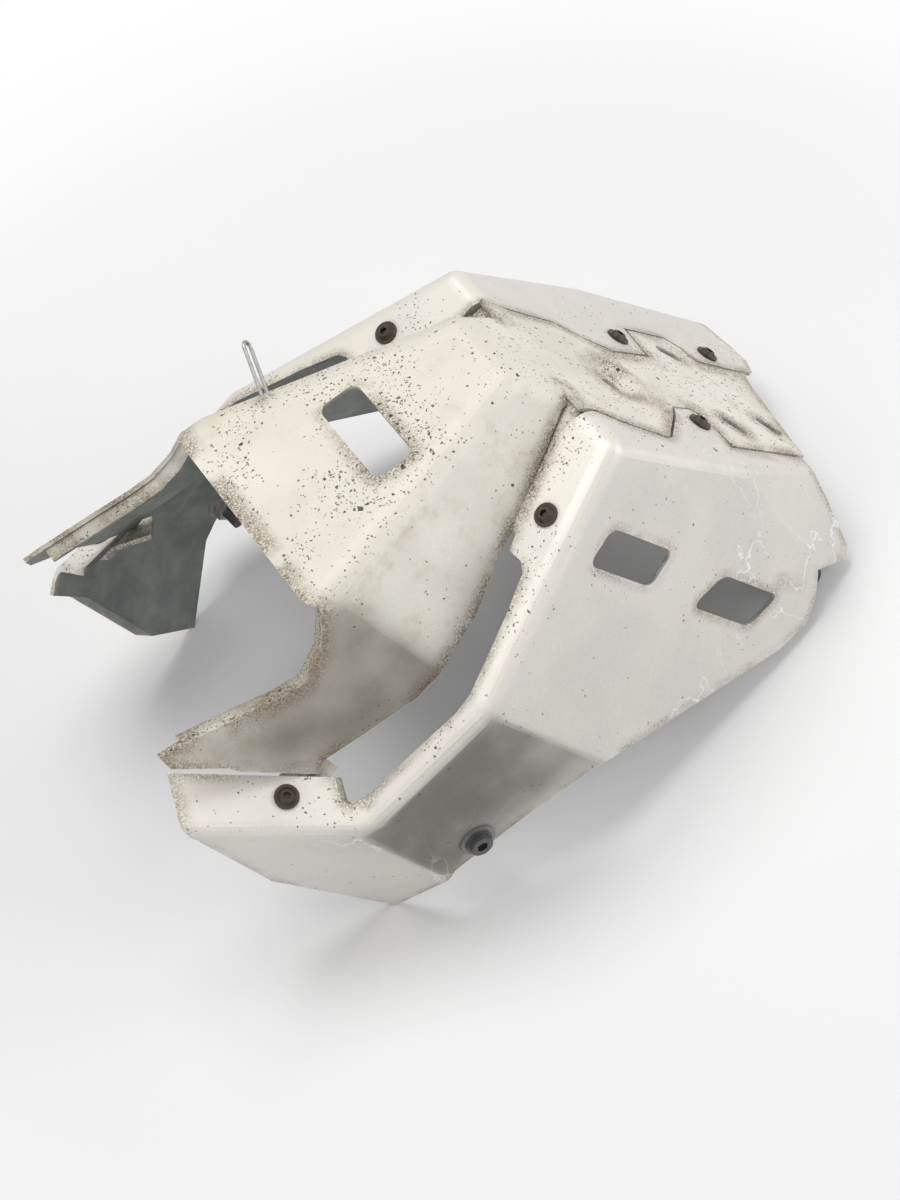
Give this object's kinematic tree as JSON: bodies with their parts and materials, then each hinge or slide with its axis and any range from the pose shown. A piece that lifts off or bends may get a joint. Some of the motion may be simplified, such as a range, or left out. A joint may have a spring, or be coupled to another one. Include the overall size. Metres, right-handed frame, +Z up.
{
  "type": "motorbike skid plate",
  "caption": "Bolted sheet aluminium skid plate: folded centre plate with nose and belly, flared side plates with windows, rubber bushed rear ears.",
  "frame": {"origin": "middle of the bounding box on the floor that the plate lies on", "axes": "+X from the front corners towards the rear ears, +Y towards the far side plate, +Z up; the belly faces up and back, the nose up and forward"},
  "size_m": [0.4628, 0.3185, 0.2366],
  "materials": {
    "centre_sheet": "worn, dull cream grey with fine dark speckle",
    "side_sheet": "worn, dull grey with smears and scratches",
    "screw_steel": "dark, browned by dirt and rust",
    "nut_steel": "zinc plated, dull",
    "bolt_steel": "plated steel, scuffed",
    "sleeve_steel": "turned, dull",
    "grommet_rubber": "moulded, slightly shiny",
    "clip_wire": "bright drawn wire"
  },
  "bodies": {
    "root": {"centre_plate": "centre_sheet", "near_side_plate": "side_sheet", "far_side_plate": "side_sheet", "plate_screws": "screw_steel", "plate_nuts": "nut_steel", "lower_bolts": "bolt_steel", "lower_washers": "nut_steel", "lower_nuts": "nut_steel", "rear_grommets": "grommet_rubber", "rear_sleeves": "sleeve_steel", "wire_clip": "clip_wire"}
  },
  "joints": []
}
